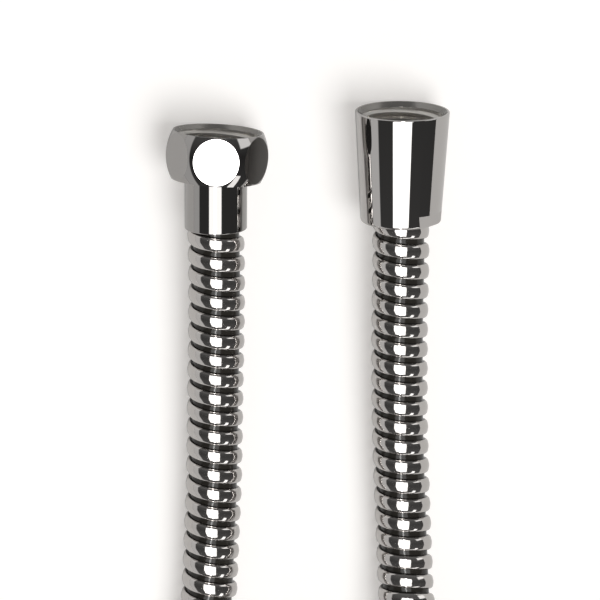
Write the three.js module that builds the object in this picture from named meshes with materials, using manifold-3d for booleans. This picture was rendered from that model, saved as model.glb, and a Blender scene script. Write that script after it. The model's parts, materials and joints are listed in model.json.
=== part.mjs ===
import * as THREE from 'three';
import { mergeVertices } from 'three/addons/utils/BufferGeometryUtils.js';
import Module from 'manifold-3d';

// Metal shower hose: a ridged jacket over a rubber liner, with a hexagonal swivel nut on one end and
// a conical swivel nut on the other. Millimetres, +Z up, lying on the table at z = 0 with both nuts
// pointing along +Y. The origin is under the middle of the two end fittings.

// The hose
const hoseDiameter = 15;
const jacketBore = 11.2;
const linerDiameter = 10.6;
const linerBore = 8;
const hoseSides = 12;
const hoseSteps = 7;

// The G1/2 swivel nuts
const threadDiameter = 20.96;
const hexWall = 1.52;
const hexBarrelProud = 2.78;
const hexFaceStep = 0.24;
const hexLength = 12.7;
const hexLip = 1.8;
const hexMouthChamfer = 0.5;
const coneMouthDiameter = 24.7;
const coneTailDiameter = 21.1;
const coneLength = 29.5;
const coneLipDepth = 13.3;
const coneMouthChamfer = 1.3;
const coneRimRound = 0.3;
const coneTailRound = 0.8;
const spannerAcrossFlats = 19;
const spannerFlatHeight = 3.4;
const spannerFlatTurn = 53;

// The crimped sleeve that each nut turns on
const ferruleWall = 0.4;
const ferruleLength = 17;
const ferruleFlange = 1;
const flangeOverhang = 0.65;

// The barbed insert and the sealing washer
const nippleFlange = 1.2;
const nippleStem = 14;
const nippleBore = 5.4;
const barbCount = 4;
const barbDepth = 0.4;
const washerDiameter = 18;
const washerHole = 10;
const washerThickness = 2;

// Clearances
const seatGap = 0.3;
const swivelGap = 0.4;
const hexPlay = 1.07;
const conePlay = 0.5;
const flangeStep = 0.25;

// How the ends lie on the table
const hexMouth = [-23.3, 10.04];
const hexYaw = -3.2;
const sleevePitch = 3.5;
const sleeveYaw = -0.4;
const sleeveSag = [-0.19, 0.34];
const coneMouth = [24.63, 15.44];
const coneYaw = -0.55;

// The coil of the hose's hidden length and the two ties that hold it
const coilRadius = 69;
const coilCentre = [0, -226];
const tieAngles = [200, 290];
const tieWidth = 5;
const tieThickness = 0.6;

// Where the hose lies between each sleeve and the coil, chosen by hand
const hexSideRoute = [
  [-23.95, -27.2, 10.63], [-24.1, -43, 9.82], [-24.45, -58, 9.15], [-24.7, -72, 8.64],
  [-25.05, -86.7, 8.2], [-25.6, -98.6, 7.92], [-25.95, -107, 7.78], [-26.6, -118, 7.7],
  [-28.3, -130, 7.8], [-32.6, -143.2, 8.1]
];
const coneSideRoute = [
  [24.5, -24.8, 9.95], [24.35, -35.8, 9.38], [24.3, -43.8, 9.02], [24.35, -55.8, 8.54],
  [24.45, -65, 8.24], [24.7, -75, 7.97], [25.1, -86, 7.74], [25.6, -98, 7.66],
  [26.05, -108, 8.25], [26.6, -118, 9.75], [28.4, -130, 12.9], [33.4, -144.8, 17.8]
];

const roundSegments = 48;
const stemSegments = 32;
const coilSegments = 60;
const cornerSteps = 5;
const barrelSteps = 12;
const cutMargin = 2;

const wasm = await Module();
wasm.setup();

const chrome = new THREE.MeshStandardMaterial({ color: 0xb9b7b3, roughness: 0.06, metalness: 1 });
const brass = new THREE.MeshStandardMaterial({ color: 0xb89a5a, roughness: 0.3, metalness: 1 });
const rubber = new THREE.MeshStandardMaterial({ color: 0x1e1e1e, roughness: 0.7, metalness: 0 });
const tiePlastic = new THREE.MeshStandardMaterial({ color: 0x20201f, roughness: 0.6, metalness: 0 });

const rad = THREE.MathUtils.degToRad;

// Radii and diameters worked out from the sizes above. The flats stand one wall outside the thread.
const hoseRadius = hoseDiameter / 2;
const pocketRadius = hoseRadius + seatGap;
const ferruleRadius = pocketRadius + ferruleWall;
const throatRadius = ferruleRadius + swivelGap;
const flangeRadius = throatRadius + flangeOverhang;
const threadRadius = threadDiameter / 2;
const hexAcrossFlats = threadDiameter + 2 * hexWall;
const hexBarrelDiameter = hexAcrossFlats + hexBarrelProud;
const hexFaceDiameter = hexAcrossFlats - hexFaceStep;
const stemRadius = linerBore / 2 - seatGap;

const part = new THREE.Group();

function addMesh(name, geometry, material, parent = part) {
  const mesh = new THREE.Mesh(geometry, material);
  mesh.name = name;
  parent.add(mesh);
  return mesh;
}

// A closed [radius, height] profile, up its outer side and down its inner side, turned about Y.
function turned(profile, segments = roundSegments) {
  const points = [...profile, profile[0]].map(([r, y]) => new THREE.Vector2(r, y));
  return new THREE.LatheGeometry(points, segments);
}

// Points of a quarter-round or other arc, from one angle to another, in degrees.
function arcPoints(r, y, radius, from, to, steps = cornerSteps) {
  return Array.from({ length: steps + 1 }, (_, i) => {
    const angle = rad(from + (to - from) * i / steps);
    return [r + radius * Math.cos(angle), y + radius * Math.sin(angle)];
  });
}

function toManifold(geometry) {
  const bare = geometry.clone();
  bare.deleteAttribute('normal');
  bare.deleteAttribute('uv');
  const merged = mergeVertices(bare);
  return new wasm.Manifold(new wasm.Mesh({
    numProp: 3,
    vertProperties: merged.attributes.position.array,
    triVerts: Uint32Array.from(merged.index.array)
  }));
}

function toGeometry(manifold) {
  const mesh = manifold.getMesh();
  const geometry = new THREE.BufferGeometry();
  geometry.setAttribute('position', new THREE.BufferAttribute(mesh.vertProperties, 3));
  geometry.setIndex(new THREE.BufferAttribute(mesh.triVerts, 1));
  geometry.computeVertexNormals();
  return geometry;
}

// The way through a nut, from its mouth down to its back: chamfer, thread, shoulder and throat.
function nutBore(length, shoulderDepth, chamfer) {
  return [
    [threadRadius + chamfer, 0], [threadRadius, -chamfer], [threadRadius, -shoulderDepth],
    [throatRadius, -shoulderDepth], [throatRadius, -length]
  ];
}

// The hexagonal nut: a barrel turned to an arc, then milled with six flats, which come out round.
function hexNut() {
  const half = hexLength / 2;
  const crown = (hexBarrelDiameter - hexFaceDiameter) / 2;
  const barrelArc = (half * half + crown * crown) / (2 * crown);
  const outside = Array.from({ length: barrelSteps + 1 }, (_, i) => {
    const y = -half + hexLength * i / barrelSteps;
    const fall = barrelArc - Math.sqrt(barrelArc * barrelArc - y * y);
    return [hexBarrelDiameter / 2 - fall, y - half];
  });
  const shoulderDepth = hexLength - hexLip;
  const barrel = turned([...outside, ...nutBore(hexLength, shoulderDepth, hexMouthChamfer)]);
  const corner = hexAcrossFlats / 2 / Math.cos(rad(30));
  const hexagon = new THREE.Shape(Array.from({ length: 6 }, (_, i) => {
    const angle = rad(60 * i);
    return new THREE.Vector2(corner * Math.cos(angle), corner * Math.sin(angle));
  }));
  const depth = hexLength + 2 * cutMargin;
  const prism = new THREE.ExtrudeGeometry(hexagon, { depth, bevelEnabled: false });
  prism.rotateX(Math.PI / 2).translate(0, cutMargin, 0);
  return toGeometry(toManifold(barrel).intersect(toManifold(prism)));
}

// The conical nut: a plain taper with two spanner flats milled at its narrow end.
function conicalNut() {
  const mouthRadius = coneMouthDiameter / 2;
  const tailRadius = coneTailDiameter / 2;
  const outside = [
    ...arcPoints(tailRadius - coneTailRound, coneTailRound - coneLength, coneTailRound, -90, 0),
    ...arcPoints(mouthRadius - coneRimRound, -coneRimRound, coneRimRound, 0, 90, 3)
  ];
  const shell = toManifold(turned([...outside, ...nutBore(coneLength, coneLipDepth, coneMouthChamfer)]));
  const cutter = new THREE.BoxGeometry(coneMouthDiameter, spannerFlatHeight + cutMargin, coneMouthDiameter);
  const away = spannerAcrossFlats / 2 + coneMouthDiameter / 2;
  const height = spannerFlatHeight - coneLength - (spannerFlatHeight + cutMargin) / 2;
  const cuts = [0, 180].map((turn) => {
    const box = cutter.clone().translate(0, height, away).rotateY(rad(spannerFlatTurn + turn));
    return toManifold(box);
  });
  return toGeometry(cuts.reduce((body, cut) => body.subtract(cut), shell));
}

// The sleeve crimped over the jacket. Its flange, at height 0, holds the nut on.
function ferrule() {
  return turned([
    [pocketRadius, -ferruleLength],
    ...arcPoints(pocketRadius, ferruleWall - ferruleLength, ferruleWall, -90, 0, 4).slice(1),
    [ferruleRadius, -ferruleFlange], [flangeRadius, -ferruleFlange], [flangeRadius, 0],
    [linerDiameter / 2 + seatGap, 0], [linerDiameter / 2 + seatGap, -ferruleFlange],
    [pocketRadius, -ferruleFlange]
  ]);
}

// The brass insert: a flange over the sleeve, and a barbed stem down the liner.
function nipple() {
  const low = seatGap;
  const barbPitch = nippleStem / barbCount;
  const barbs = Array.from({ length: barbCount }, (_, i) => {
    const foot = low - nippleStem + barbPitch * i;
    return [[stemRadius - barbDepth, foot], [stemRadius, foot + barbPitch - barbDepth]];
  }).flat();
  return turned([
    ...barbs, [stemRadius, low], [flangeRadius - flangeStep, low],
    [flangeRadius - flangeStep, low + nippleFlange], [nippleBore / 2, low + nippleFlange],
    [nippleBore / 2, low - nippleStem]
  ], stemSegments);
}

function washer() {
  const low = 2 * seatGap + nippleFlange;
  const high = low + washerThickness;
  return turned([
    [washerDiameter / 2, low], [washerDiameter / 2, high], [washerHole / 2, high], [washerHole / 2, low]
  ]);
}

// One end of the hose: sleeve, insert and washer on one axis.
function addSleeve(end, place) {
  const group = new THREE.Group();
  place(group);
  part.add(group);
  addMesh(`${end}_end_ferrule`, ferrule(), chrome, group);
  addMesh(`${end}_end_nipple`, nipple(), brass, group);
  addMesh(`${end}_end_washer`, washer(), rubber, group);
  group.updateWorldMatrix(true, false);
  return group;
}

// The hexagonal nut rests on one of its flats, slack on its sleeve.
const hexNutMesh = addMesh('hex_nut', hexNut(), chrome);
hexNutMesh.position.set(hexMouth[0], hexMouth[1], hexAcrossFlats / 2);
hexNutMesh.rotation.z = rad(hexYaw);
hexNutMesh.updateWorldMatrix(true, false);

const hexSleeve = addSleeve('hex', (group) => {
  const depth = hexLength - hexLip - hexPlay - ferruleFlange;
  group.position.copy(hexNutMesh.localToWorld(new THREE.Vector3(sleeveSag[0], -depth, sleeveSag[1])));
  group.rotation.set(rad(sleevePitch), 0, rad(sleeveYaw));
});

// The conical nut lies along its side, with its sleeve in line inside it.
const coneSlope = Math.atan((coneMouthDiameter - coneTailDiameter) / 2
  / (coneLength - coneRimRound - coneTailRound));
const coneHeight = coneMouthDiameter / 2 * Math.cos(coneSlope) + coneRimRound * Math.sin(coneSlope);
const coneNutMesh = addMesh('conical_nut', conicalNut(), chrome);
coneNutMesh.position.set(coneMouth[0], coneMouth[1], coneHeight);
coneNutMesh.rotation.set(coneSlope, 0, rad(coneYaw));
coneNutMesh.updateWorldMatrix(true, false);

const coneSleeve = addSleeve('cone', (group) => {
  const depth = coneLipDepth - conePlay - ferruleFlange;
  group.position.copy(coneNutMesh.localToWorld(new THREE.Vector3(0, -depth, 0)));
  group.rotation.copy(coneNutMesh.rotation);
});

// A plain ring section swept along the hose's line, from inside a sleeve to the coil.
function hoseTube(sleeve, startHeight, route, outer, inner) {
  const start = [startHeight, -ferruleLength].map((y) => sleeve.localToWorld(new THREE.Vector3(0, y, 0)));
  const line = new THREE.CatmullRomCurve3([...start, ...route.map((p) => new THREE.Vector3(...p))]);
  const ring = (radius) => Array.from({ length: hoseSides }, (_, i) => {
    const angle = 2 * Math.PI * (i + 0.5) / hoseSides;
    return new THREE.Vector2(radius * Math.cos(angle), radius * Math.sin(angle));
  });
  const section = new THREE.Shape(ring(outer));
  section.holes.push(new THREE.Path(ring(inner)));
  return new THREE.ExtrudeGeometry(section, { steps: hoseSteps, extrudePath: line });
}

for (const [side, sleeve, route] of [['hex', hexSleeve, hexSideRoute], ['cone', coneSleeve, coneSideRoute]]) {
  const jacketStart = -ferruleFlange - seatGap;
  addMesh(`hose_jacket_${side}_side`, hoseTube(sleeve, jacketStart, route, hoseRadius, jacketBore / 2), chrome);
  addMesh(`hose_liner_${side}_side`, hoseTube(sleeve, 0, route, linerDiameter / 2, linerBore / 2), rubber);
}

// The outline around three turns of hose, two below and one in the groove above them, grown by offset.
// Its [x, y] points start from the middle of the lower pair.
function bundleOutline(offset) {
  const radius = hoseRadius + offset;
  return [
    ...arcPoints(hoseRadius, 0, radius, -90, 30),
    ...arcPoints(0, hoseDiameter * Math.sin(rad(60)), radius, 30, 150),
    ...arcPoints(-hoseRadius, 0, radius, 150, 270)
  ];
}

const coilHeight = tieThickness + seatGap + hoseRadius;
const coil = turned(bundleOutline(0).map(([x, y]) => [coilRadius + x, y]), coilSegments);
coil.rotateX(Math.PI / 2);
const coilMesh = addMesh('hose_coil', coil, chrome);
coilMesh.position.set(coilCentre[0], coilCentre[1], coilHeight);

// Each tie is a thin band round the coil's section.
function tieBand() {
  const toPoints = (offset) => bundleOutline(offset).map(([x, y]) => new THREE.Vector2(x, y));
  const band = new THREE.Shape(toPoints(seatGap + tieThickness));
  band.holes.push(new THREE.Path(toPoints(seatGap)));
  const geometry = new THREE.ExtrudeGeometry(band, { depth: tieWidth, bevelEnabled: false });
  return geometry.translate(0, 0, -tieWidth / 2).rotateX(Math.PI / 2);
}

tieAngles.forEach((angle, i) => {
  const tie = addMesh(`coil_tie_${i + 1}`, tieBand(), tiePlastic);
  const turn = rad(angle);
  tie.position.set(
    coilCentre[0] + coilRadius * Math.cos(turn), coilCentre[1] + coilRadius * Math.sin(turn), coilHeight
  );
  tie.rotation.z = turn;
});

export default part;
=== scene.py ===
# %% [markdown]
# # A metal shower hose
#
# The real thing is a rubber tube inside a ridged chrome jacket. Each end has a sleeve that is
# crimped over the jacket, a brass insert pushed into the tube, a washer, and a swivel nut that turns
# behind the sleeve's rim. One nut is a hexagon for the mixer and the other a cone for the wall holder.
#
# The imported model comes first. It holds every size and place, and nothing here moves it.

# %% The imported model
import json
import math

import bpy
import numpy as np
from mathutils import Matrix, Vector


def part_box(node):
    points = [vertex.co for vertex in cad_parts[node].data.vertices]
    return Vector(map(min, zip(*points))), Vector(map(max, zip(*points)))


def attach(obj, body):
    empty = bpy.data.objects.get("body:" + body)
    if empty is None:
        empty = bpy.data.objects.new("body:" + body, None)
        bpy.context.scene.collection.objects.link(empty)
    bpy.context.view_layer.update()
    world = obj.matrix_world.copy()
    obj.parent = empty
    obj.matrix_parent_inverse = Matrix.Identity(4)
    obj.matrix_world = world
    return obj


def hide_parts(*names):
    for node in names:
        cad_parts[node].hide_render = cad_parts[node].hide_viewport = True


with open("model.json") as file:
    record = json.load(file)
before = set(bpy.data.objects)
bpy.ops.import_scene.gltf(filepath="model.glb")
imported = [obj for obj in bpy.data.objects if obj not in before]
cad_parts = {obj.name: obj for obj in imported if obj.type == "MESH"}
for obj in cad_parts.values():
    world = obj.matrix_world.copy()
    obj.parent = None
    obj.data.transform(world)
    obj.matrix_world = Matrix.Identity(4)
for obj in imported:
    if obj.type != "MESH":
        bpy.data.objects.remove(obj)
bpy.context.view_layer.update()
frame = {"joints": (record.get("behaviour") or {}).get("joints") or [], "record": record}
MM = 0.001

# %% [markdown]
# ## The camera
#
# The ends are seen from almost straight above, from a little beyond the nuts' mouths, through a long
# lens. The lens is worked out from the picture: how many pixels wide a thing would be at a distance
# of its own width. The camera comes first, because the coil of spare hose has to lie outside its view.

# %% The camera
PHOTO_WIDTH = 600
FOCAL_PIXELS = 3787
SENSOR_WIDTH = 36
CAMERA_LEAN = math.radians(11.7)
CAMERA_DISTANCE = 1000 * MM
CAMERA_REACH = 100
LOOK_AT = Vector((-2.03, -35.73, 8.0)) * MM

camera_data = bpy.data.cameras.new("camera")
camera_data.sensor_width = SENSOR_WIDTH
camera_data.lens = FOCAL_PIXELS / PHOTO_WIDTH * camera_data.sensor_width
camera_data.clip_end = CAMERA_REACH
camera = bpy.data.objects.new("camera", camera_data)
towards_camera = Vector((0, math.sin(CAMERA_LEAN), math.cos(CAMERA_LEAN)))
camera.location = LOOK_AT + CAMERA_DISTANCE * towards_camera
camera.rotation_euler = (-CAMERA_LEAN, 0, 0)
bpy.context.scene.collection.objects.link(camera)
bpy.context.scene.camera = camera
print("lens, mm:", round(camera_data.lens, 1))

# %% [markdown]
# ## Where the two ends lie
#
# A nut or a sleeve is turned about its own axis, so each gets a frame of its own: Y is the axis, out
# of the mouth, and Z is as near to straight up as it can be. The nuts' frames come from their joints.
# A sleeve's frame is found from the washer in front of it, whose box has its middle on the axis.

# %% Where the two ends lie
NIPPLE_FLANGE = 1.2
WASHER_THICKNESS = 2.0
SEAT_GAP = 0.3
WASHER_MIDDLE = 2 * SEAT_GAP + NIPPLE_FLANGE + WASHER_THICKNESS / 2


def own_frame(place, axis):
    """The frame of a turned piece at this place, with its Y along the axis."""
    y = Vector(axis).normalized()
    x = y.cross(Vector((0, 0, 1))).normalized()
    turn = Matrix((x, y, x.cross(y))).transposed()
    return Matrix.Translation(place) @ turn.to_4x4()


def sleeve_frame(end):
    """The frame of a sleeve, with its origin in the middle of the rim's upper face."""
    mounts = {mount["name"]: mount for mount in frame["record"]["mounts"]}
    axis = Vector(mounts[f"{end}_end_seal_face"]["axis"])
    low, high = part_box(f"{end}_end_washer")
    return own_frame((low + high) / 2 - axis * WASHER_MIDDLE * MM, axis)


joints = {joint["child"]: joint for joint in frame["joints"]}
hex_nut_frame = own_frame(joints["hex_nut"]["pos_m"], joints["hex_nut"]["axis"])
cone_nut_frame = own_frame(joints["conical_nut"]["pos_m"], joints["conical_nut"]["axis"])
hex_sleeve_frame = sleeve_frame("hex")
cone_sleeve_frame = sleeve_frame("cone")
for sleeve_place in (hex_sleeve_frame.translation, cone_sleeve_frame.translation):
    print("sleeve, mm:", [round(x / MM, 1) for x in sleeve_place])

# %% [markdown]
# ## The hose's route
#
# The picture shows the two ends of the hose side by side, each about 12 cm long. The points there are
# given in metres. The rest of the 1.6 m is put away as for storage: two turns side by side on the table,
# and most of a third in the groove between them. The turns are made by a loop. As the angle grows,
# smooth ramps move the hose in beside itself, up onto the two turns, and out over them. Each ramp is
# given by the two angles, in degrees, between which it rises. A small hump lifts the hose where it
# crosses the turn below. A wide bend joins each straight stretch to the coil, with two points given as
# an angle and a height.

# %% The shown ends of the route
HOSE_DIAMETER = 15.0
FERRULE_LENGTH = 17.0
JACKET_START = -1.3
HEX_SIDE = [
    (-0.02395, -0.0272, 0.01063), (-0.0241, -0.043, 0.00982), (-0.02445, -0.058, 0.00915),
    (-0.0247, -0.072, 0.00864), (-0.02505, -0.0867, 0.0082), (-0.0256, -0.0986, 0.00792),
    (-0.02595, -0.107, 0.00778), (-0.0266, -0.118, 0.0077), (-0.0283, -0.13, 0.0078),
    (-0.0326, -0.1432, 0.0081),
]
CONE_SIDE = [
    (0.0245, -0.0248, 0.00995), (0.02435, -0.0358, 0.00938), (0.0243, -0.0438, 0.00902),
    (0.02435, -0.0558, 0.00854), (0.02445, -0.065, 0.00824), (0.0247, -0.075, 0.00797),
    (0.0251, -0.086, 0.00774), (0.0256, -0.098, 0.00766), (0.02605, -0.108, 0.00825),
    (0.0266, -0.118, 0.00975), (0.0284, -0.13, 0.0129), (0.0334, -0.1448, 0.0178),
]

hex_end = [hex_sleeve_frame @ (Vector((0, y, 0)) * MM) for y in (JACKET_START, -FERRULE_LENGTH)]
cone_end = [cone_sleeve_frame @ (Vector((0, y, 0)) * MM) for y in (-FERRULE_LENGTH, JACKET_START)]
print("points chosen by hand:", len(HEX_SIDE) + len(CONE_SIDE))

# %% The coil
COIL_MIDDLE = (0.0, -226.0)
OUTER_TURN = 76.5
LOW_TURN = 8.45
GROOVE_RISE = HOSE_DIAMETER * math.sin(math.radians(60))
MOVE_IN = (395, 495)
CLIMB_ON = (690, 800)
MOVE_BACK = (745, 860)
CLIMB_OVER = (985, 1085)
CROSSING = 812
CROSSING_SPREAD = 28
CROSSING_HUMP = 1.8


def ramp(value, start, end):
    """Rises smoothly from 0 to 1 between start and end."""
    share = min(1, max(0, (value - start) / (end - start)))
    return share**3 * (share * (6 * share - 15) + 10)


def coil_point(angle):
    """A point of the coil, in mm. The angle goes on past 360 degrees for the later turns."""
    moved_in = HOSE_DIAMETER * ramp(angle, *MOVE_IN)
    moved_out = HOSE_DIAMETER / 2 * (ramp(angle, *MOVE_BACK) + ramp(angle, *CLIMB_OVER))
    radius = OUTER_TURN - moved_in + moved_out
    height = LOW_TURN + GROOVE_RISE * ramp(angle, *CLIMB_ON)
    height += (HOSE_DIAMETER - GROOVE_RISE) * ramp(angle, *CLIMB_OVER)
    height += CROSSING_HUMP * math.exp(-(((angle - CROSSING) / CROSSING_SPREAD) ** 2))
    turn = math.radians(angle)
    x = COIL_MIDDLE[0] + radius * math.cos(turn)
    y = COIL_MIDDLE[1] + radius * math.sin(turn)
    return Vector((x, y, height))


print("height of each turn, mm:", [round(coil_point(angle).z, 1) for angle in (180, 540, 900)])

# %% The whole route
BEND_RADIUS = 75.0
JOIN_ANGLE = 47.96
TURN_STEP = 12
HEX_BEND = [(31, 8.3), (40, 8.4)]
CONE_BEND = [(42, 23.1), (35, 21.8)]


def bend_point(angle, side, height):
    """A point of the wide bend from a straight stretch to the coil, which it meets at JOIN_ANGLE."""
    reach = OUTER_TURN + BEND_RADIUS
    meeting = math.radians(JOIN_ANGLE)
    centre = Vector((reach * math.cos(meeting), COIL_MIDDLE[1] + reach * math.sin(meeting)))
    turn = math.radians(angle)
    x = centre.x - BEND_RADIUS * math.cos(turn)
    return Vector((side * x, centre.y - BEND_RADIUS * math.sin(turn), height))


hidden = [bend_point(angle, -1, height) for angle, height in HEX_BEND]
ring_start = 180 - JOIN_ANGLE
ring_end = 3 * 360 + JOIN_ANGLE
ring_steps = round((ring_end - ring_start) / TURN_STEP)
for step in range(ring_steps + 1):
    hidden.append(coil_point(ring_start + (ring_end - ring_start) * step / ring_steps))
hidden += [bend_point(angle, 1, height) for angle, height in CONE_BEND]

route = hex_end + [Vector(p) for p in HEX_SIDE] + [p * MM for p in hidden]
route += [Vector(p) for p in reversed(CONE_SIDE)] + cone_end
print("points:", len(route), "of them in the coil:", ring_steps + 1)

# %% [markdown]
# A smooth line through all those points is a spline, blended here from the straight lines between
# neighbouring points. It is laid out as close points, because the jacket's ridges need more than a
# curve: at any length along the hose they need its place and two directions square to it that don't
# twist. Each pair of directions is the pair before, made square to the hose again. The first
# direction points down, so that the seam lies underneath.

# %% The hose's line
SPLINE_STEPS = 16


def spline(points):
    """Close points on a smooth line through the given ones."""
    ends = [2 * points[0] - points[1], *points, 2 * points[-1] - points[-2]]
    line = []
    for p0, p1, p2, p3 in zip(ends, ends[1:], ends[2:], ends[3:]):
        t1 = (p1 - p0).length ** 0.5
        t2 = t1 + (p2 - p1).length ** 0.5
        t3 = t2 + (p3 - p2).length ** 0.5
        for step in range(SPLINE_STEPS):
            t = t1 + (t2 - t1) * step / SPLINE_STEPS
            a1 = p0.lerp(p1, t / t1)
            a2 = p1.lerp(p2, (t - t1) / (t2 - t1))
            a3 = p2.lerp(p3, (t - t2) / (t3 - t2))
            b1 = a1.lerp(a2, t / t2)
            b2 = a2.lerp(a3, (t - t1) / (t3 - t1))
            line.append(b1.lerp(b2, (t - t1) / (t2 - t1)))
    return line + [points[-1]]


def untwisted(line):
    """For each point of the line, a first direction square to it, and a second square to both."""
    firsts, seconds = [], []
    first = Vector((0, 0, -1))
    for i in range(len(line)):
        along = (line[min(i + 1, len(line) - 1)] - line[max(i - 1, 0)]).normalized()
        first = (first - along * first.dot(along)).normalized()
        firsts.append(first)
        seconds.append(along.cross(first))
    return np.array(firsts), np.array(seconds)


line = spline(route)
lengths = [(b - a).length for a, b in zip(line, line[1:])]
line_at = np.concatenate([[0], np.cumsum(lengths)]) / MM
line_places = np.array(line)
line_firsts, line_seconds = untwisted(line)
hose_length = line_at[-1]
print("jacket, mm:", round(hose_length, 1))


def along_hose(lengths_along, table):
    """A table of the line's places or directions, read at these lengths in mm."""
    return np.stack([np.interp(lengths_along, line_at, table[:, k]) for k in range(3)], axis=1)


# %% [markdown]
# ## Making a piece
#
# Every piece is a mesh made from points and faces. It is shaded smooth, apart from edges where two faces
# meet at more than a small angle. Each piece says which body carries it and which nodes of the imported
# model it takes the place of.

# %% Making a piece
SHARP_ANGLE = math.radians(16)


def piece(name, points, faces, place=None):
    """A smooth-shaded mesh object, in metres where no place is given and else in mm in that frame."""
    mesh = bpy.data.meshes.new(name)
    mesh.from_pydata(points, [], faces)
    if place is not None:
        mesh.transform(place @ Matrix.Scale(MM, 4))
    mesh.shade_smooth()
    mesh.set_sharp_from_angle(angle=SHARP_ANGLE)
    thing = bpy.data.objects.new(name, mesh)
    bpy.context.scene.collection.objects.link(thing)
    return thing


def stand_for(thing, body, slot, *nodes):
    """The piece rides on a body and takes the nodes' place. The slot is not used."""
    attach(thing, body)
    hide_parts(*nodes)


print("edges stay sharp from, degrees:", round(math.degrees(SHARP_ANGLE)))

# %% [markdown]
# ## The jacket
#
# The jacket is one strip of chromed metal, folded and wound in a left-handed spiral. Across the strip
# it has a crowned ridge with round shoulders, then a short wall down to a narrow flat groove. A tube
# whose rows run square across the hose would cut every ridge into steps, so the rows follow the
# spiral: each row keeps one place on the strip's outline, and one turn later it meets its own pitch.
#
# The outline is worked out for half the strip, from the middle of the groove to the middle of the
# ridge, and mirrored.

# %% The strip's outline
RIDGE_RADIUS = 4.1
RIDGE_HALF = 1.3
SHOULDER_RADIUS = 1.02
SHOULDER_LEANS = (86, 66, 46, 28)
CROWN_LEANS = (5, 0)
GROOVE_RADIUS = 6.15
GROOVE_STOPS = [(0, 0), (0.5, 0), (0.92, 0.06)]
STRIP_PITCH = 5.25

ridge_angle = math.degrees(math.asin(RIDGE_HALF / RIDGE_RADIUS))


def ridge_point(angle):
    """Distance from the ridge's middle and radius, where the outline leans by this angle."""
    lean = math.radians(angle)
    if angle <= ridge_angle:
        return RIDGE_RADIUS * math.sin(lean), HOSE_DIAMETER / 2 - RIDGE_RADIUS * (1 - math.cos(lean))
    edge = math.radians(ridge_angle)
    foot = HOSE_DIAMETER / 2 - RIDGE_RADIUS * (1 - math.cos(edge))
    across = RIDGE_HALF + SHOULDER_RADIUS * (math.sin(lean) - math.sin(edge))
    return across, foot - SHOULDER_RADIUS * (math.cos(edge) - math.cos(lean))


ridge = [ridge_point(angle) for angle in (*SHOULDER_LEANS, ridge_angle, *CROWN_LEANS)]
wall = ridge[0][0]
groove_half = STRIP_PITCH / 2 - wall
half_strip = [(share * groove_half, GROOVE_RADIUS + rise) for share, rise in GROOVE_STOPS]
half_strip += [(STRIP_PITCH / 2 - across, radius) for across, radius in ridge]
strip = half_strip + [(STRIP_PITCH - at, radius) for at, radius in half_strip[-2:0:-1]]
strip_shares = np.array([at / STRIP_PITCH for at, radius in strip])
strip_radii = np.array([radius for at, radius in strip])
ROWS = len(strip)
print("rows to a pitch:", ROWS, "ridge height, mm:", round(strip_radii.max() - strip_radii.min(), 2))

# %% [markdown]
# The grooves are set by what the picture shows. Near the hexagonal nut the strip keeps its own pitch,
# and near the conical one the hose is stretched a little. At both ends the first groove lies a known
# way below the sleeve. Between the two the pitch is whatever makes a whole number of grooves fit. The
# phase counts pitches along the hose, and it is whole in the middle of a groove at the seam.

# %% Where each pitch lies
HEX_PITCH = STRIP_PITCH
CONE_PITCH = 5.35
HEX_FIRST_GROOVE = 0.4
CONE_FIRST_GROOVE = 4.72
FIRST_GROOVE_COUNT = 4
SHOWN_LENGTH = 108.0

sleeve_cover = FERRULE_LENGTH + JACKET_START


def front_turn(at):
    """The share of a turn from the seam to the side that faces the camera."""
    first = Vector(along_hose([at], line_firsts)[0])
    second = Vector(along_hose([at], line_seconds)[0])
    return math.atan2(second.dot(towards_camera), first.dot(towards_camera)) / (2 * math.pi) % 1


hex_groove = sleeve_cover + HEX_FIRST_GROOVE
cone_groove = hose_length - sleeve_cover - CONE_FIRST_GROOVE
hex_phase = FIRST_GROOVE_COUNT - front_turn(hex_groove)
knots_at = [hex_groove, hex_groove + SHOWN_LENGTH, cone_groove - SHOWN_LENGTH, cone_groove]
middle = (knots_at[2] - knots_at[1]) / STRIP_PITCH
cone_turn = front_turn(cone_groove)
guess = hex_phase + SHOWN_LENGTH / HEX_PITCH + middle + SHOWN_LENGTH / CONE_PITCH
cone_phase = round(guess + cone_turn) - cone_turn
knots_at = [0, *knots_at, hose_length]
knots_phase = [
    hex_phase - hex_groove / HEX_PITCH,
    hex_phase,
    hex_phase + SHOWN_LENGTH / HEX_PITCH,
    cone_phase - SHOWN_LENGTH / CONE_PITCH,
    cone_phase,
    cone_phase + (hose_length - cone_groove) / CONE_PITCH,
]
first_pitch = math.ceil(knots_phase[0]) + 1
last_pitch = math.floor(knots_phase[-1])
fine_until = math.ceil(knots_phase[2])
fine_from = math.floor(knots_phase[3])
middle_pitch = (knots_at[3] - knots_at[2]) / (knots_phase[3] - knots_phase[2])
print("pitches:", last_pitch - first_pitch, "middle pitch, mm:", round(middle_pitch, 3))

# %% [markdown]
# The near ends are woven fine and the hidden length with every second row and column, which keeps
# the mesh under 200,000 triangles. Where the fine part meets the coarse one, the coarse faces take in
# the fine part's points along their edges, so no crack opens.
#
# The faces of the groove and of the wall beside it are marked for a second material, which is painted
# shade: its near-black colour darkens the fold and dims the reflections on the wall.

# %% Weaving the jacket
COLUMNS = 48
GROOVE_ROWS = 4

jacket_points = {}
in_groove = []


def point_key(row, column):
    """A point's row and column. One turn round is the same point as one pitch back at the seam."""
    return (row - ROWS, 0) if column == COLUMNS else (row, column)


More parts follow.
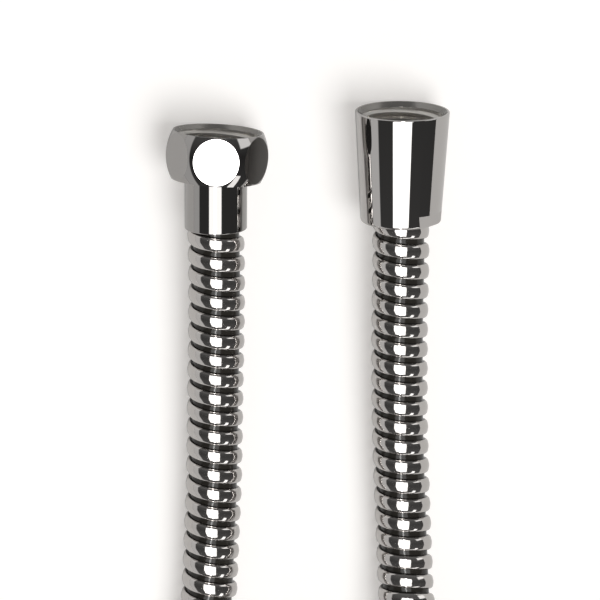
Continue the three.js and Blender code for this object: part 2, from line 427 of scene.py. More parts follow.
def weave(first, last, step):
    """Faces of the jacket from one pitch to another, taking each step-th row and column."""
    faces = []
    for row in range(first * ROWS, last * ROWS, step):
        for column in range(0, COLUMNS, step):
            corners = [
                (row, column), (row, column + step), (row + step, column + step), (row + step, column)
            ]
            face = []
            for here, after in zip(corners, corners[1:] + corners[:1]):
                face.append(jacket_points.setdefault(point_key(*here), len(jacket_points)))
                halfway = point_key((here[0] + after[0]) // 2, (here[1] + after[1]) // 2)
                if step == 2 and halfway in jacket_points:
                    face.append(jacket_points[halfway])
            faces.append(face)
            in_groove.append(min(row % ROWS, ROWS - 1 - row % ROWS) < GROOVE_ROWS)
    return faces


jacket_faces = weave(first_pitch, fine_until, 1) + weave(fine_from, last_pitch, 1)
jacket_faces += weave(fine_until, fine_from, 2)
print("jacket faces:", len(jacket_faces), "in the grooves:", sum(in_groove))

# %% [markdown]
# A point's row says how far along the strip's outline it lies, and its column how far round the hose.
# Together they give its phase, the phase gives its length along the hose, and the line gives its place.

# %% Laying the jacket along the line
rows = np.array([key[0] for key in jacket_points])
turns = np.array([key[1] for key in jacket_points]) / COLUMNS
phases = rows // ROWS + strip_shares[rows % ROWS] - turns
at = np.interp(phases, knots_phase, knots_at)
sideways = along_hose(at, line_firsts) * np.cos(2 * np.pi * turns)[:, None]
sideways += along_hose(at, line_seconds) * np.sin(2 * np.pi * turns)[:, None]
jacket_places = along_hose(at, line_places) + sideways * strip_radii[rows % ROWS][:, None] * MM
jacket = piece("hose_jacket", jacket_places.tolist(), jacket_faces)
# The strip is bent, not cut, so none of its edges stays sharp.
jacket.data.shade_smooth()
# The groove's faces take the second material, the painted shade.
jacket.data.polygons.foreach_set("material_index", in_groove)
stand_for(jacket, "hose", "jacket_chrome", "hose_jacket_hex_side", "hose_jacket_cone_side", "hose_coil")
print("jacket triangles:", sum(len(face) - 2 for face in jacket_faces))

# %% [markdown]
# ## The liner
#
# Inside the jacket runs one plain rubber tube. It is a ring swept along the same line, open at both
# ends for the water, with an outer and an inner wall.

# %% The liner
LINER_RADIUS = 5.3
LINER_BORE = 4.0
LINER_STEP = 6.0
LINER_SIDES = 16

stations = np.linspace(0, hose_length, round(hose_length / LINER_STEP) + 1)
station_places = along_hose(stations, line_places)
ring_points = []
for radius in (LINER_RADIUS, LINER_BORE):
    for side in range(LINER_SIDES):
        turn = 2 * math.pi * side / LINER_SIDES
        out = along_hose(stations, line_firsts) * math.cos(turn)
        out += along_hose(stations, line_seconds) * math.sin(turn)
        ring_points.append(station_places + out * radius * MM)
liner_points = np.concatenate(ring_points)
count = len(stations)
last = count - 1
liner_faces = []
for side in range(LINER_SIDES):
    beside = (side + 1) % LINER_SIDES
    outer, outer_beside = side * count, beside * count
    inner, inner_beside = outer + LINER_SIDES * count, outer_beside + LINER_SIDES * count
    for k in range(last):
        liner_faces.append((outer + k, outer_beside + k, outer_beside + k + 1, outer + k + 1))
        liner_faces.append((inner + k, inner + k + 1, inner_beside + k + 1, inner_beside + k))
    liner_faces.append((outer, inner, inner_beside, outer_beside))
    liner_faces.append((outer + last, outer_beside + last, inner_beside + last, inner + last))
liner = piece("hose_liner", liner_points.tolist(), liner_faces)
stand_for(liner, "hose", "liner_rubber", "hose_liner_hex_side", "hose_liner_cone_side")
print("liner triangles:", 2 * len(liner_faces))

# %% [markdown]
# ## The ties
#
# Two flat bands hold the coil. Each one is pulled tight round the three turns, so its outline is the
# shortest line round three circles: an arc on each, with straight stretches between. The middles of
# the three turns come from the same function that laid the coil. A band meets the outer turn first,
# then the one on top and last the inner one.
#
# The band's section is given for one of its edges, as the way out from the hose and the way from the
# band's middle, and mirrored for the other edge.

# %% The ties
TIE_ANGLES = (200, 290)
TURNS_IN_ORDER = (0, 720, 360)
TIE_GAP = 0.15
TIE_ARC_STEPS = 14
TIE_EDGE = [(0, 2.3), (0.1, 2.45), (0.25, 2.5), (0.45, 2.45), (0.58, 2.3), (0.6, 2.0)]
TIE_SECTION = TIE_EDGE + [(thick, -wide) for thick, wide in reversed(TIE_EDGE)]


def tie_rim(circles):
    """The points where a tight band touches these circles, as pairs of a circle and a direction."""
    rim = []
    for i, circle in enumerate(circles):
        before = circle - circles[i - 1]
        after = circles[(i + 1) % 3] - circle
        start = math.atan2(before.y, before.x) - math.pi / 2
        sweep = (math.atan2(after.y, after.x) - math.pi / 2 - start) % (2 * math.pi)
        for step in range(TIE_ARC_STEPS + 1):
            lean = start + sweep * step / TIE_ARC_STEPS
            rim.append((circle, Vector((math.cos(lean), math.sin(lean)))))
    return rim


def tie(name, angle):
    """A band round the three turns at this angle of the coil."""
    turn = math.radians(angle)
    outward = Vector((math.cos(turn), math.sin(turn), 0))
    middle = Vector((*COIL_MIDDLE, 0))
    offsets = [coil_point(angle + extra) - middle for extra in TURNS_IN_ORDER]
    rim = tie_rim([Vector((offset.dot(outward), offset.z)) for offset in offsets])
    points = []
    for circle, normal in rim:
        for thick, wide in TIE_SECTION:
            spot = circle + normal * (HOSE_DIAMETER / 2 + TIE_GAP + thick)
            points.append((spot.x, wide, spot.y))
    around, sides = len(rim), len(TIE_SECTION)
    faces = []
    for i in range(around):
        row, next_row = i * sides, (i + 1) % around * sides
        for k in range(sides):
            beside = (k + 1) % sides
            faces.append((row + k, next_row + k, next_row + beside, row + beside))
    place = Matrix.Translation(middle * MM) @ Matrix.Rotation(turn, 4, "Z")
    return piece(name, points, faces, place)


ties = [tie(f"tie_band_{i + 1}", angle) for i, angle in enumerate(TIE_ANGLES)]
for i, band in enumerate(ties):
    stand_for(band, "hose", "tie_plastic", f"coil_tie_{i + 1}")
print("ties:", [round(max(v.co.z for v in band.data.vertices) / MM, 1) for band in ties])

# %% [markdown]
# ## Turned pieces
#
# Nuts, sleeves, inserts and washers are turned on a lathe, so a closed outline is turned about the
# axis. No real edge is perfectly sharp, and on chrome even a tiny round catches a line of light, so
# each corner of an outline is given as a radius, a height and the size of its round.

# %% Turned pieces
LATHE_STEPS = 144
ROUND_STEPS = 7


def rounded(corners):
    """The points of a closed outline whose corners are rounded, each by a size of its own."""
    points = []
    for before, here, after in zip(corners[-1:] + corners, corners, corners[1:] + corners[:1]):
        corner = Vector(here[:2])
        size = here[2]
        if size == 0:
            points.append(corner)
            continue
        back = (Vector(before[:2]) - corner).normalized()
        on = (Vector(after[:2]) - corner).normalized()
        half = back.angle(on) / 2
        centre = corner + (back + on).normalized() * size / math.sin(half)
        start = corner + back * size / math.tan(half) - centre
        end = corner + on * size / math.tan(half) - centre
        first = math.atan2(start.y, start.x)
        turn = (math.atan2(end.y, end.x) - first + math.pi) % (2 * math.pi) - math.pi
        for step in range(ROUND_STEPS + 1):
            angle = first + turn * step / ROUND_STEPS
            points.append(centre + size * Vector((math.cos(angle), math.sin(angle))))
    return points


def lathe(outline):
    """Points and faces of a closed outline of (radius, height) turned about Y."""
    points, faces = [], []
    for i, (radius, height) in enumerate(outline):
        row = i * LATHE_STEPS
        above = (i + 1) % len(outline) * LATHE_STEPS
        for j in range(LATHE_STEPS):
            turn = 2 * math.pi * j / LATHE_STEPS
            points.append((radius * math.cos(turn), height, radius * math.sin(turn)))
            beside = (j + 1) % LATHE_STEPS
            faces.append((row + j, above + j, above + beside, row + beside))
    return points, faces


print("steps round the lathe:", LATHE_STEPS)

# %% [markdown]
# ## Sleeves, inserts and washers
#
# The sleeve is drawn from thin sheet: a plain wall whose lower lip is rolled in onto the jacket, and
# a rim at the top for the nut to pull on. The brass insert has a flange in front of the rim and a
# barbed stem that grips the liner. The washer in front of it seals against the tap.

# %% Sleeves, inserts and washers
POCKET_RADIUS = 7.62
FERRULE_RADIUS = 8.2
FERRULE_FLANGE = 1.0
FLANGE_RADIUS = 9.25
NIPPLE_RADIUS = 9.0
STEM_RADIUS = 3.7
STEM_LENGTH = 14.0
STEM_BORE = 2.7
BARBS = 4
BARB_DEPTH = 0.4
WASHER_RADIUS = 9.0
WASHER_HOLE = 5.0
BARB_ROUND = 0.08
FINE_ROUND = 0.1
SMALL_ROUND = 0.15
EDGE_ROUND = 0.2
WASHER_ROUND = 0.3
LIP_ROUND = 0.38


def sleeve(name, place):
    hole = LINER_RADIUS + SEAT_GAP
    outline = rounded([
        (POCKET_RADIUS, -FERRULE_LENGTH, SMALL_ROUND), (FERRULE_RADIUS, -FERRULE_LENGTH, LIP_ROUND),
        (FERRULE_RADIUS, -FERRULE_FLANGE, EDGE_ROUND), (FLANGE_RADIUS, -FERRULE_FLANGE, EDGE_ROUND),
        (FLANGE_RADIUS, 0, EDGE_ROUND), (hole, 0, FINE_ROUND),
        (hole, -FERRULE_FLANGE, FINE_ROUND), (POCKET_RADIUS, -FERRULE_FLANGE, FINE_ROUND),
    ])
    return piece(name, *lathe(outline), place)


def insert(name, place):
    low, top = SEAT_GAP, SEAT_GAP + NIPPLE_FLANGE
    corners = []
    for barb in range(BARBS):
        foot = low - STEM_LENGTH * (1 - barb / BARBS)
        shoulder = foot + STEM_LENGTH / BARBS - BARB_DEPTH
        corners += [(STEM_RADIUS - BARB_DEPTH, foot, 0), (STEM_RADIUS, shoulder, BARB_ROUND)]
    corners += [
        (STEM_RADIUS, low, FINE_ROUND), (NIPPLE_RADIUS, low, SMALL_ROUND),
        (NIPPLE_RADIUS, top, SMALL_ROUND), (STEM_BORE, top, EDGE_ROUND),
        (STEM_BORE, low - STEM_LENGTH, 0),
    ]
    return piece(name, *lathe(rounded(corners)), place)


def washer(name, place):
    low = WASHER_MIDDLE - WASHER_THICKNESS / 2
    high = low + WASHER_THICKNESS
    outline = rounded([
        (WASHER_RADIUS, low, WASHER_ROUND), (WASHER_RADIUS, high, WASHER_ROUND),
        (WASHER_HOLE, high, WASHER_ROUND), (WASHER_HOLE, low, WASHER_ROUND),
    ])
    return piece(name, *lathe(outline), place)


sleeves, inserts, washers = [], [], []
for end, place in (("hex", hex_sleeve_frame), ("cone", cone_sleeve_frame)):
    sleeves.append(sleeve(f"{end}_sleeve", place))
    inserts.append(insert(f"{end}_insert", place))
    washers.append(washer(f"{end}_washer", place))
    stand_for(sleeves[-1], "hose", "ferrule_chrome", f"{end}_end_ferrule")
    stand_for(inserts[-1], "hose", "insert_brass", f"{end}_end_nipple")
    stand_for(washers[-1], "hose", "washer_rubber", f"{end}_end_washer")
print("sleeves:", len(sleeves), "inserts:", len(inserts), "washers:", len(washers))

# %% [markdown]
# ## The nuts
#
# Both nuts are cut from bar. The hexagonal one is turned to a barrel first, and then its six flats are
# milled, which is why each flat has a round outline: it is where a plane meets the barrel. The conical
# one is a plain taper with two flats for a spanner at its narrow end. A Boolean modifier makes the
# same cuts here, with straight bars as the cutters.

# %% Cutting
CUT_MARGIN = 3.0


def bar(name, corners, low, high, place):
    """A straight bar along Y. Its corners, as (x, z), go round from X towards Z."""
    sides = len(corners)
    points = [(x, y, z) for y in (low, high) for x, z in corners]
    faces = [(k, k + sides, (k + 1) % sides + sides, (k + 1) % sides) for k in range(sides)]
    faces += [tuple(range(sides)), tuple(range(2 * sides - 1, sides - 1, -1))]
    return piece(name, points, faces, place)


def cut(thing, cutter, operation):
    """Cuts a piece by another with a Boolean modifier and keeps the result as its mesh."""
    modifier = thing.modifiers.new("cut", "BOOLEAN")
    modifier.object = cutter
    modifier.operation = operation
    modifier.solver = "EXACT"
    evaluated = thing.evaluated_get(bpy.context.evaluated_depsgraph_get())
    result = bpy.data.meshes.new_from_object(evaluated)
    thing.modifiers.clear()
    thing.data = result
    bpy.data.objects.remove(cutter)
    result.shade_smooth()
    result.set_sharp_from_angle(angle=SHARP_ANGLE)


print("cutters reach past the nuts by, mm:", CUT_MARGIN)

# %% [markdown]
# The G1/2 thread in each mouth is a ridge that winds down the bore, and it fades into the wall at both
# ends as a cut thread does. Its feet are sunk a little into the wall. In the hexagonal nut it stops
# short of the washer, which it would touch as the nut turns.

# %% The thread
THREAD_ROOT = 10.48
THREAD_CREST = 9.32
THREAD_PITCH = 1.814
THREAD_STEPS = 96
THREAD_FADE = 30
CREST_HALF = 0.24
ROOT_HALF = 0.86
SUNK = 0.12


def thread(first, last):
    """Points and faces of a right-handed thread ridge that winds from one height down to another."""
    points, faces = [], []
    steps = round((first - last) / THREAD_PITCH * THREAD_STEPS)
    for step in range(steps + 1):
        turn = 2 * math.pi * step / THREAD_STEPS
        height = first - THREAD_PITCH * step / THREAD_STEPS
        fade = min(1, step / THREAD_FADE, (steps - step) / THREAD_FADE)
        crest = THREAD_ROOT + SUNK / 2 - (THREAD_ROOT - THREAD_CREST) * fade
        section = [
            (THREAD_ROOT + SUNK, height + ROOT_HALF), (crest, height + CREST_HALF),
            (crest, height - CREST_HALF), (THREAD_ROOT + SUNK, height - ROOT_HALF),
        ]
        points += [(r * math.cos(turn), y, r * math.sin(turn)) for r, y in section]
    for low in range(0, 4 * steps, 4):
        for k in range(4):
            beside = (k + 1) % 4
            faces.append((low + k, low + beside, low + 4 + beside, low + 4 + k))
    end = 4 * steps
    faces += [(3, 2, 1, 0), (end, end + 1, end + 2, end + 3)]
    return points, faces


def add_thread(nut, place, first, last):
    """Joins a thread to the nut, so that it turns with it as one piece."""
    points, faces = thread(first, last)
    ridge_piece = piece("thread", points, faces, place)
    with bpy.context.temp_override(
        active_object=nut, object=nut, selected_objects=[nut, ridge_piece],
        selected_editable_objects=[nut, ridge_piece],
    ):
        bpy.ops.object.join()


print("thread depth, mm:", round(THREAD_ROOT - THREAD_CREST, 2))

# %% [markdown]
# The hexagonal nut's barrel is an arc, widest in the middle. At both faces it is a little narrower
# than the hexagon across its flats, so the faces are round. The bore belongs to the same outline, so
# the lathe makes both, and then a six-sided bar cuts the flats.

# %% The hexagonal nut
HEX_ACROSS_FLATS = 24.0
HEX_BARREL = 26.78
HEX_FACE = 23.76
HEX_LENGTH = 12.7
HEX_LIP = 1.8
HEX_CHAMFER = 1.05
HEX_THREAD_END = 5.2
THROAT_RADIUS = 8.6
BARREL_STEPS = 40

crown = (HEX_BARREL - HEX_FACE) / 2
barrel_arc = ((HEX_LENGTH / 2) ** 2 + crown**2) / (2 * crown)
barrel = []
for step in range(BARREL_STEPS + 1):
    y = -HEX_LENGTH / 2 + HEX_LENGTH * step / BARREL_STEPS
    radius = HEX_BARREL / 2 - barrel_arc + math.sqrt(barrel_arc**2 - y**2)
    barrel.append((radius, y - HEX_LENGTH / 2, 0))
hex_bore = [
    (THREAD_ROOT + HEX_CHAMFER, 0, SMALL_ROUND), (THREAD_ROOT, -HEX_CHAMFER, 0),
    (THREAD_ROOT, HEX_LIP - HEX_LENGTH, FINE_ROUND), (THROAT_RADIUS, HEX_LIP - HEX_LENGTH, FINE_ROUND),
    (THROAT_RADIUS, -HEX_LENGTH, EDGE_ROUND),
]
hex_nut = piece("hex_swivel_nut", *lathe(rounded(barrel + hex_bore)), hex_nut_frame)
corner = HEX_ACROSS_FLATS / 2 / math.cos(math.radians(30))
turns_to_corners = [math.radians(60 * side) for side in range(6)]
hexagon = [(corner * math.cos(turn), corner * math.sin(turn)) for turn in turns_to_corners]
hexagon_bar = bar("hexagon", hexagon, -HEX_LENGTH - CUT_MARGIN, CUT_MARGIN, hex_nut_frame)
cut(hex_nut, hexagon_bar, "INTERSECT")
add_thread(hex_nut, hex_nut_frame, -HEX_CHAMFER, -HEX_THREAD_END)
stand_for(hex_nut, "hex_nut", "nut_chrome", "hex_nut")
print("hexagonal nut faces:", len(hex_nut.data.polygons))

# %% [markdown]
# The conical nut's outline is a straight taper with rounded ends. Two square bars, one on each side of
# the narrow end, cut the flats for the spanner.

# %% The conical nut
CONE_MOUTH = 24.7
CONE_TAIL = 21.1
CONE_LENGTH = 29.5
CONE_LIP_DEPTH = 13.3
CONE_CHAMFER = 1.3
CONE_THREAD_END = 9.5
CONE_TAIL_ROUND = 0.8
CONE_MOUTH_ROUND = 0.3
SPANNER_ACROSS_FLATS = 19.0
SPANNER_HEIGHT = 3.4
SPANNER_TURN = 53

cone_outline = rounded([
    (CONE_TAIL / 2, -CONE_LENGTH, CONE_TAIL_ROUND), (CONE_MOUTH / 2, 0, CONE_MOUTH_ROUND),
    (THREAD_ROOT + CONE_CHAMFER, 0, SMALL_ROUND), (THREAD_ROOT, -CONE_CHAMFER, FINE_ROUND),
    (THREAD_ROOT, -CONE_LIP_DEPTH, FINE_ROUND), (THROAT_RADIUS, -CONE_LIP_DEPTH, FINE_ROUND),
    (THROAT_RADIUS, -CONE_LENGTH, EDGE_ROUND),
])
cone_nut = piece("cone_swivel_nut", *lathe(cone_outline), cone_nut_frame)
near, far = SPANNER_ACROSS_FLATS / 2, SPANNER_ACROSS_FLATS / 2 + CONE_MOUTH
block = [(-CONE_MOUTH, near), (CONE_MOUTH, near), (CONE_MOUTH, far), (-CONE_MOUTH, far)]
low, high = -CONE_LENGTH - CUT_MARGIN, SPANNER_HEIGHT - CONE_LENGTH
for side in (0, 180):
    turned_frame = cone_nut_frame @ Matrix.Rotation(math.radians(SPANNER_TURN + side), 4, "Y")
    cut(cone_nut, bar("spanner_block", block, low, high, turned_frame), "DIFFERENCE")
add_thread(cone_nut, cone_nut_frame, -CONE_CHAMFER, -CONE_THREAD_END)
stand_for(cone_nut, "conical_nut", "nut_chrome", "conical_nut")
print("conical nut faces:", len(cone_nut.data.polygons))

# %% [markdown]
# ## Finishes
#
# Chrome plate is a mirror with a grey body colour, so almost all of its look comes from what it
# reflects. The hexagonal nut and the sleeves get a darker grey than the cone, and that grey is painted
# shade: it stands in for the shadowed floor that they reflect.
# Still, polish is never perfect: a slow noise varies the roughness, and a very faint bump bends the
# reflections by a hair. Rubber and plastic are matt, with a fine grain.
#
# The outside of a nut is polished before it is plated, but the inside isn't, so its mouth and its
# threaded bore have duller finishes. The bore's colour is much lighter than the mouth's, and that is
# painted light: it lifts the deep bore, which little light reaches. The jacket's grooves get a
# near-black colour with a weak gloss, which is painted shade for the dark fold.

# %% Finishes
POLISHED = (0.1, 0.004)
FINE_GRAIN = (0.2, 0.01)
GRAIN = (0.3, 0.02)
COARSE_GRAIN = (0.4, 0.03)
NOISE_DETAIL = 3
GROOVE_GLOSS = 0.3


def finish(name, colour, metallic, rough, scale, bump):
    """A surface whose roughness runs between two values by a noise of this scale, per metre.

    The bump is its strength and its depth in mm.
    """
    material = bpy.data.materials.new(name)
    material.use_nodes = True
    nodes, links = material.node_tree.nodes, material.node_tree.links
    shader = nodes["Principled BSDF"]
    shader.inputs["Base Color"].default_value = (*colour, 1)
    shader.inputs["Metallic"].default_value = metallic
    place = nodes.new("ShaderNodeTexCoord")
    noise = nodes.new("ShaderNodeTexNoise")
    noise.inputs["Scale"].default_value = scale
    noise.inputs["Detail"].default_value = NOISE_DETAIL
    links.new(place.outputs["Object"], noise.inputs["Vector"])
    spread = nodes.new("ShaderNodeMapRange")
    spread.inputs["To Min"].default_value = rough[0]
    spread.inputs["To Max"].default_value = rough[1]
    links.new(noise.outputs["Fac"], spread.inputs["Value"])
    links.new(spread.outputs["Result"], shader.inputs["Roughness"])
    relief = nodes.new("ShaderNodeBump")
    relief.inputs["Strength"].default_value = bump[0]
    relief.inputs["Distance"].default_value = bump[1] * MM
    links.new(noise.outputs["Fac"], relief.inputs["Height"])
    links.new(relief.outputs["Normal"], shader.inputs["Normal"])
    return material


jacket_chrome = finish("jacket_chrome", (0.6, 0.575, 0.555), 0.965, (0.05, 0.1), 900, POLISHED)
# Painted shade: the groove's near-black colour and weak gloss darken the fold and the wall beside it.
groove_painted_shade = finish("groove_painted_shade", (0.022, 0.02, 0.017), 0, (0.08, 0.14), 900, POLISHED)
groove_painted_shade.node_tree.nodes["Principled BSDF"].inputs["Specular IOR Level"].default_value = GROOVE_GLOSS
cone_chrome = finish("cone_nut_chrome", (0.55, 0.53, 0.515), 1, (0.02, 0.045), 500, POLISHED)
# Painted shade: the hexagonal nut and the sleeves get a darker grey than the cone, for the shadowed
# floor that they reflect.
hex_chrome_painted_shade = finish("hex_nut_chrome_painted_shade", (0.4, 0.386, 0.375), 1, (0.02, 0.045), 500, POLISHED)
sleeve_chrome_painted_shade = finish("sleeve_chrome_painted_shade", (0.4, 0.386, 0.375), 1, (0.03, 0.06), 600, POLISHED)
bore_plate = finish("bore_plate", (0.33, 0.318, 0.3), 0.65, (0.16, 0.24), 1500, FINE_GRAIN)
# Painted light: the thread plate is a lighter copy of the bore plate, which lifts the deep bore that
# little light reaches.
thread_plate_painted_light = finish("thread_plate_painted_light", (0.78, 0.755, 0.72), 0.65, (0.1, 0.16), 1500, FINE_GRAIN)
brass = finish("machined_brass", (0.62, 0.47, 0.22), 1, (0.2, 0.38), 1500, GRAIN)
washer_rubber = finish("washer_rubber", (0.028, 0.028, 0.027), 0, (0.6, 0.8), 2500, COARSE_GRAIN)
liner_rubber = finish("liner_rubber", (0.05, 0.05, 0.048), 0, (0.55, 0.75), 2000, GRAIN)
tie_plastic = finish("tie_plastic", (0.024, 0.024, 0.023), 0, (0.38, 0.55), 1800, GRAIN)
print("finishes:", len(bpy.data.materials))

# %% [markdown]
# A nut is one mesh with three materials. Its faces are sorted by where they lie: those that look
# towards the axis, or lie within the thread, are inside. The first stretch of the mouth, with the
# chamfer, takes the second material, and the bore and thread below it the third.

# %% Dressing the pieces
LOOKS_INWARD = 0.2
MOUTH_RIM = 0.05
MOUTH_BELOW_CHAMFER = 0.4
BORE_MARGIN = 0.2


def mark_bore(nut, place, chamfer, depth):
    """Gives the faces of a nut's mouth its second material, and those of its bore the third."""
    to_own = (place @ Matrix.Scale(MM, 4)).inverted()
    to_own_direction = place.to_3x3().inverted()
    for face in nut.data.polygons:
        x, y, z = to_own @ face.center
        radius = math.hypot(x, z)
        normal = to_own_direction @ face.normal
        inward = -(x * normal.x + z * normal.z) / radius
        inside = radius < THREAD_CREST or inward > LOOKS_INWARD
        if inside and -depth - BORE_MARGIN < y < -MOUTH_RIM:
            face.material_index = 1 if y > -chamfer - MOUTH_BELOW_CHAMFER else 2


def dress(things, *materials):
    """Puts the materials in the pieces' slots. A slot that a cut has left is filled first."""
    for thing in things:
        slots = thing.data.materials
        for k, material in enumerate(materials):
            if k < len(slots):
                slots[k] = material
            else:
                slots.append(material)


mark_bore(hex_nut, hex_nut_frame, HEX_CHAMFER, HEX_LENGTH - HEX_LIP)
mark_bore(cone_nut, cone_nut_frame, CONE_CHAMFER, CONE_LIP_DEPTH)
dress([jacket], jacket_chrome, groove_painted_shade)
dress(sleeves, sleeve_chrome_painted_shade)
dress([hex_nut], hex_chrome_painted_shade, bore_plate, thread_plate_painted_light)
dress([cone_nut], cone_chrome, bore_plate, thread_plate_painted_light)
dress(inserts, brass)
dress(washers, washer_rubber)
dress([liner], liner_rubber)
dress(ties, tie_plastic)
print("bore and thread faces:", [
    sum(face.material_index > 0 for face in nut.data.polygons) for nut in (hex_nut, cone_nut)
])

# %% [markdown]
# ## The floor
#
# The floor is a sheet of light grey matt paper. It glows for the camera, which makes it white in the
# picture and leaves the shadow on it. For reflections it glows hardly at all, so it stays grey there,
# and that gives the hose its grey sides. It lies a hair below the table's height.

# %% The floor
FLOOR_HALF = 20.0
FLOOR_DROP = 0.05
PAPER_COLOUR = (0.66, 0.654, 0.645, 1)
GLOW_COLOUR = (1, 0.96, 0.925, 1)
GLOW_TO_CAMERA = 0.4
GLOW_IN_REFLECTIONS = 0.04

square = [(-1, -1), (1, -1), (1, 1), (-1, 1)]
floor_corners = [(x * FLOOR_HALF, y * FLOOR_HALF, -FLOOR_DROP * MM) for x, y in square]
floor = piece("floor", floor_corners, [(0, 1, 2, 3)])
paper = bpy.data.materials.new("floor_paper")
paper.use_nodes = True
nodes, links = paper.node_tree.nodes, paper.node_tree.links
shader = nodes["Principled BSDF"]
shader.inputs["Base Color"].default_value = PAPER_COLOUR
shader.inputs["Roughness"].default_value = 1
shader.inputs["Specular IOR Level"].default_value = 0
shader.inputs["Emission Color"].default_value = GLOW_COLOUR
path = nodes.new("ShaderNodeLightPath")
to_camera = nodes.new("ShaderNodeMath")
to_camera.operation = "MULTIPLY"
to_camera.inputs[1].default_value = GLOW_TO_CAMERA
links.new(path.outputs["Is Camera Ray"], to_camera.inputs[0])
lift = nodes.new("ShaderNodeMath")
lift.operation = "MULTIPLY_ADD"
lift.inputs[1].default_value = GLOW_IN_REFLECTIONS
links.new(path.outputs["Is Glossy Ray"], lift.inputs[0])
links.new(to_camera.outputs["Value"], lift.inputs[2])
links.new(lift.outputs["Value"], shader.inputs["Emission Strength"])
floor.data.materials.append(paper)
print("floor, m:", 2 * FLOOR_HALF)

# %% [markdown]
# ## The lamp
#
# Matt surfaces get plain light: most of it from one large soft lamp, high on the right, which makes
# the shadow, and the rest evenly from the whole world. The lamp isn't seen in reflections.

# %% The lamp
KEY_SHARE = 0.68
KEY_ELEVATION = 66
KEY_AZIMUTH = -30
KEY_SOFTNESS = 35

key_data = bpy.data.lights.new("key", "SUN")
key_data.angle = math.radians(KEY_SOFTNESS)
key_data.energy = KEY_SHARE * math.pi / math.sin(math.radians(KEY_ELEVATION))
key = bpy.data.objects.new("key", key_data)
key.rotation_euler = (0, math.radians(90 - KEY_ELEVATION), math.radians(KEY_AZIMUTH))
key.visible_glossy = False
bpy.context.scene.collection.objects.link(key)
print("key light:", round(key_data.energy, 2))

# %% [markdown]
# ## The surroundings
#
# A mirror shows the room, so the room is part of the picture. This one is painted on the world, by
# the direction in which a reflection leaves, and only reflections see it. Front is where the nuts'
# mouths point, and back is where the coil lies. The room is dark. Overhead hangs a big white softbox,
# with a very bright strip along its middle. It hangs a little askew, apart from its part furthest
# back, whose edges run straight. Low on the left stands a grey wall. Two small panels are at the
# right: the side light towards the back, with a slanting edge, and the front light, low down. A faint
# glow rises towards the front and the back.
#
# Left, right, front and back edges are angles from straight up, in degrees. The other limits are
# parts of the direction itself, or of its slope. Each edge is a little soft.

# %% The lights of the room
SOFTBOX_LEFT, SOFTBOX_RIGHT = -22, 25
SOFTBOX_BACK, SOFTBOX_FRONT = -46, 22
SOFTBOX_SKEW, SKEW_FROM = -0.16, -0.33
SOFTBOX_LIGHT = 2.5
CORE_LEFT, CORE_RIGHT = -3, 3.5
CORE_LIGHT = 14
WALL_LEFT, WALL_RIGHT = -90, -64
WALL_LIGHT = 0.6
SIDE_LIGHT_RIGHT = 64
SIDE_LIGHT_INNER, SIDE_LIGHT_FROM = 0.1, -0.58
SIDE_LIGHT_START, SIDE_LIGHT_SLOPE = -5.25, 3.4
SIDE_LIGHT = 2.0
FRONT_LIGHT_LEFT, FRONT_LIGHT_RIGHT = 58, 105
FRONT_LIGHT_LOW, FRONT_LIGHT_HIGH = 0.27, 0.6
FRONT_LIGHT = 1.3
FRONT_GLOW = 0.12
BACK_GLOW = 0.04
DARK = 0.036
AMBIENT = 1 - KEY_SHARE
SHARP_EDGE, PANEL_EDGE, WALL_EDGE, SIDE_EDGE, SLANT_EDGE = 0.01, 0.02, 0.03, 0.04, 0.06
ENDLESS = -100
HORIZON = 0.001
print("softbox, degrees:", SOFTBOX_RIGHT - SOFTBOX_LEFT, "by", SOFTBOX_FRONT - SOFTBOX_BACK)

# %% Tools to paint the world
world = bpy.data.worlds.new("studio")
bpy.context.scene.world = world
world.use_nodes = True
nodes, links = world.node_tree.nodes, world.node_tree.links
nodes.clear()


def maths(operation, first, second, third=None):
    """A Math node. Each input is a number or another node's output."""
    node = nodes.new("ShaderNodeMath")
    node.operation = operation
    for socket, value in zip(node.inputs, (first, second, third)):
        if isinstance(value, bpy.types.NodeSocket):
            links.new(value, socket)
        elif value is not None:
            socket.default_value = value
    return node.outputs[0]


def between(value, low, high, soft):
    """1 where the value lies between low and high, and 0 outside, with edges this soft."""
    rises = []
    for start, sign in ((low, 1), (high, -1)):
        edge = nodes.new("ShaderNodeMapRange")
        edge.interpolation_type = "SMOOTHSTEP"
        edge.inputs["From Min"].default_value = start - sign * soft
        edge.inputs["From Max"].default_value = start + sign * soft
        links.new(value, edge.inputs["Value"])
        rises.append(edge.outputs["Result"])
    return maths("MULTIPLY", *rises)


def slope(degrees):
    """How far a direction goes sideways for each step up, at this angle from straight up."""
    return math.tan(math.radians(degrees))


direction = nodes.new("ShaderNodeTexCoord")
split = nodes.new("ShaderNodeSeparateXYZ")
links.new(direction.outputs["Generated"], split.inputs["Vector"])
forward = split.outputs["Y"]
up = maths("MAXIMUM", split.outputs["Z"], HORIZON)
across = maths("ARCTAN2", split.outputs["X"], split.outputs["Z"])
away = maths("DIVIDE", forward, up)
beside = maths("DIVIDE", split.outputs["X"], up)
skewed = maths("MULTIPLY_ADD", maths("MAXIMUM", away, SKEW_FROM), SOFTBOX_SKEW, beside)
print("world nodes so far:", len(nodes))

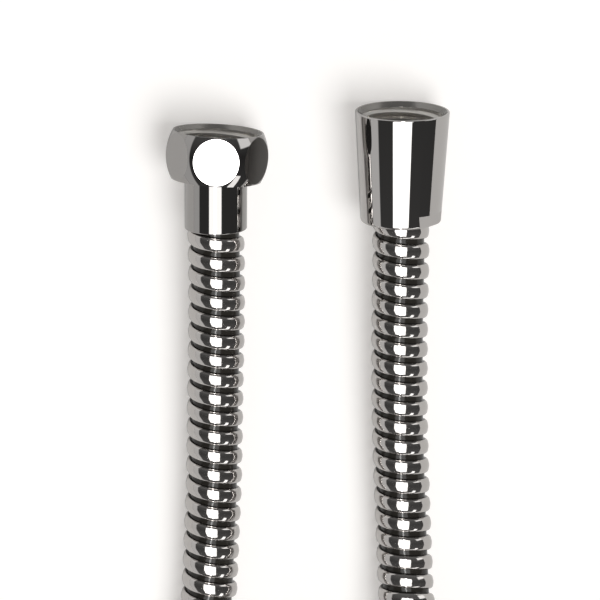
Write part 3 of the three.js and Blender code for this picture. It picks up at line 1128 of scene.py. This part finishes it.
# %% The world
along_softbox = between(away, slope(SOFTBOX_BACK), slope(SOFTBOX_FRONT), WALL_EDGE)
softbox_sides = between(skewed, slope(SOFTBOX_LEFT), slope(SOFTBOX_RIGHT), PANEL_EDGE)
softbox = maths("MULTIPLY", softbox_sides, along_softbox)
core_sides = between(skewed, slope(CORE_LEFT), slope(CORE_RIGHT), PANEL_EDGE)
core = maths("MULTIPLY", core_sides, along_softbox)
wall = between(across, math.radians(WALL_LEFT), math.radians(WALL_RIGHT), WALL_EDGE)

slanting_edge = maths("MULTIPLY_ADD", beside, -SIDE_LIGHT_SLOPE, away)
side_light = maths(
    "MULTIPLY",
    between(slanting_edge, ENDLESS, SIDE_LIGHT_START, SLANT_EDGE),
    between(beside, SIDE_LIGHT_INNER, slope(SIDE_LIGHT_RIGHT), SIDE_EDGE),
)
side_light = maths("MULTIPLY", side_light, between(forward, ENDLESS, SIDE_LIGHT_FROM, SHARP_EDGE))
front_light = maths(
    "MULTIPLY",
    between(across, math.radians(FRONT_LIGHT_LEFT), math.radians(FRONT_LIGHT_RIGHT), WALL_EDGE),
    between(forward, FRONT_LIGHT_LOW, FRONT_LIGHT_HIGH, PANEL_EDGE),
)
backward = maths("MULTIPLY", forward, -1)
glow = maths("MULTIPLY", maths("MAXIMUM", forward, 0), FRONT_GLOW)
glow = maths("MULTIPLY_ADD", maths("MAXIMUM", backward, 0), BACK_GLOW, glow)

room = maths("ADD", glow, DARK)
for shape, light in (
    (softbox, SOFTBOX_LIGHT), (core, CORE_LIGHT), (wall, WALL_LIGHT), (side_light, SIDE_LIGHT),
    (front_light, FRONT_LIGHT),
):
    room = maths("MULTIPLY_ADD", shape, light, room)

# Reflections see the room, all other light comes evenly, and the camera sees white.
path = nodes.new("ShaderNodeLightPath")
plain = maths("MULTIPLY", maths("SUBTRACT", 1, path.outputs["Is Glossy Ray"]), AMBIENT)
strength = maths("MULTIPLY_ADD", room, path.outputs["Is Glossy Ray"], plain)
strength = maths("MAXIMUM", strength, path.outputs["Is Camera Ray"])
background = nodes.new("ShaderNodeBackground")
background.inputs["Color"].default_value = (1, 1, 1, 1)
links.new(strength, background.inputs["Strength"])
output = nodes.new("ShaderNodeOutputWorld")
links.new(background.outputs["Background"], output.inputs["Surface"])
bpy.context.scene.view_settings.view_transform = "Standard"
print("world nodes:", len(nodes))
